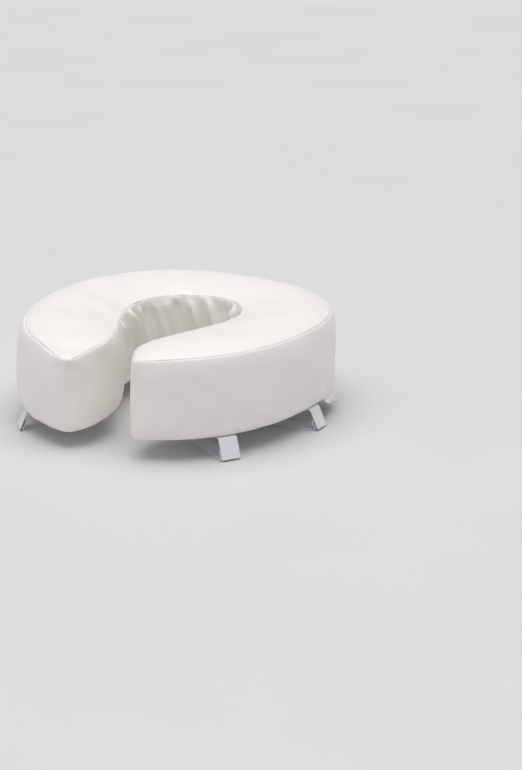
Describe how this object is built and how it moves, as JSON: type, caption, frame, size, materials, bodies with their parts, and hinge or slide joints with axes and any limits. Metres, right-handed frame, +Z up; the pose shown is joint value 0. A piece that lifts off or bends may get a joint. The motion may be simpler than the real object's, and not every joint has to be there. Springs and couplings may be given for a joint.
{
  "type": "padded raised toilet seat",
  "caption": "Horseshoe foam seat riser in a white wipe-clean cover, open at the front, held to a toilet's own seat by hook-and-loop straps.",
  "frame": {"origin": "centre of the footprint at the lowest level of the closed strap loops", "axes": "+X is the sitter's left-hand side seen from the front, so right in a front view; -Y is the open front; +Y is the back; +Z is up"},
  "size_m": [0.4044, 0.4194, 0.1356],
  "materials": {
    "cover": "smooth white wipe-clean vinyl on a woven backing, satin",
    "foam": "open-cell polyurethane foam",
    "thread": "polyester sewing thread and pressed seam",
    "tape": "woven zip tape",
    "zip": "moulded zip teeth and stops",
    "slider": "plated zip slider and pull",
    "webbing": "ribbed polyester webbing",
    "hook": "hook tape",
    "loop": "brushed loop tape"
  },
  "bodies": {
    "pad": {"foam_core": "foam", "cover_top_panel": "cover", "cover_bottom_panel": "cover", "cover_outer_boxing": "cover", "cover_inner_boxing": "cover", "top_seam_thread": "thread", "bottom_seam_thread": "thread", "zip_lower_tape": "tape", "zip_upper_tape": "tape", "zip_lower_chain": "zip", "zip_upper_chain": "zip", "zip_right_stop": "zip", "zip_left_stop": "zip", "zip_end_flap": "cover", "front_right_tab_anchor": "webbing", "front_right_long_strap": "webbing", "rear_right_tab_anchor": "webbing", "rear_right_long_strap": "webbing", "front_left_tab_anchor": "webbing", "front_left_long_strap": "webbing", "rear_left_tab_anchor": "webbing", "rear_left_long_strap": "webbing"},
    "slider": {"zip_slider": "slider"},
    "pull": {"zip_pull_tab": "slider"},
    "front_right_tab": {"front_right_tab": "webbing", "front_right_hook_patch": "hook"},
    "front_right_end": {"front_right_strap_end": "webbing", "front_right_loop_patch": "loop"},
    "rear_right_tab": {"rear_right_tab": "webbing", "rear_right_hook_patch": "hook"},
    "rear_right_end": {"rear_right_strap_end": "webbing", "rear_right_loop_patch": "loop"},
    "front_left_tab": {"front_left_tab": "webbing", "front_left_hook_patch": "hook"},
    "front_left_end": {"front_left_strap_end": "webbing", "front_left_loop_patch": "loop"},
    "rear_left_tab": {"rear_left_tab": "webbing", "rear_left_hook_patch": "hook"},
    "rear_left_end": {"rear_left_strap_end": "webbing", "rear_left_loop_patch": "loop"}
  },
  "joints": [
    {"name": "zip_travel", "type": "hinge", "parent": "pad", "child": "slider", "pos_m": [0, 0.02113, 0.04135], "axis": [0, 0, -1], "range_deg": [0, 138]},
    {"name": "pull_swing", "type": "hinge", "parent": "slider", "child": "pull", "pos_m": [-0.19162, 0.04806, 0.04135], "axis": [0, 0, 1], "range_deg": [0, 150]},
    {"name": "front_right_tab_lift", "type": "hinge", "parent": "pad", "child": "front_right_tab", "pos_m": [0.14017, -0.1512, 0.0271], "axis": [-0.6158, -0.7879, 0], "range_deg": [0, 115]},
    {"name": "front_right_end_unroll", "type": "hinge", "parent": "pad", "child": "front_right_end", "pos_m": [0.1461, -0.15584, 0.0006], "axis": [0.6158, 0.7879, 0], "range_deg": [0, 96]},
    {"name": "rear_right_tab_lift", "type": "hinge", "parent": "pad", "child": "rear_right_tab", "pos_m": [0.18998, 0.00005, 0.0271], "axis": [-0.0437, -0.999, 0], "range_deg": [0, 115]},
    {"name": "rear_right_end_unroll", "type": "hinge", "parent": "pad", "child": "rear_right_end", "pos_m": [0.1975, -0.00028, 0.0006], "axis": [0.0437, 0.999, 0], "range_deg": [0, 96]},
    {"name": "front_left_tab_lift", "type": "hinge", "parent": "pad", "child": "front_left_tab", "pos_m": [-0.14017, -0.1512, 0.0271], "axis": [-0.6158, 0.7879, 0], "range_deg": [0, 115]},
    {"name": "front_left_end_unroll", "type": "hinge", "parent": "pad", "child": "front_left_end", "pos_m": [-0.1461, -0.15584, 0.0006], "axis": [0.6158, -0.7879, 0], "range_deg": [0, 96]},
    {"name": "rear_left_tab_lift", "type": "hinge", "parent": "pad", "child": "rear_left_tab", "pos_m": [-0.18998, 0.00005, 0.0271], "axis": [-0.0437, 0.999, 0], "range_deg": [0, 115]},
    {"name": "rear_left_end_unroll", "type": "hinge", "parent": "pad", "child": "rear_left_end", "pos_m": [-0.1975, -0.00028, 0.0006], "axis": [0.0437, -0.999, 0], "range_deg": [0, 96]}
  ],
  "couplings": [
    {"joint": "front_right_end_unroll", "follows": "front_right_tab_lift", "ratio": 0.8},
    {"joint": "rear_right_end_unroll", "follows": "rear_right_tab_lift", "ratio": 0.8},
    {"joint": "front_left_end_unroll", "follows": "front_left_tab_lift", "ratio": 0.8},
    {"joint": "rear_left_end_unroll", "follows": "rear_left_tab_lift", "ratio": 0.8}
  ]
}
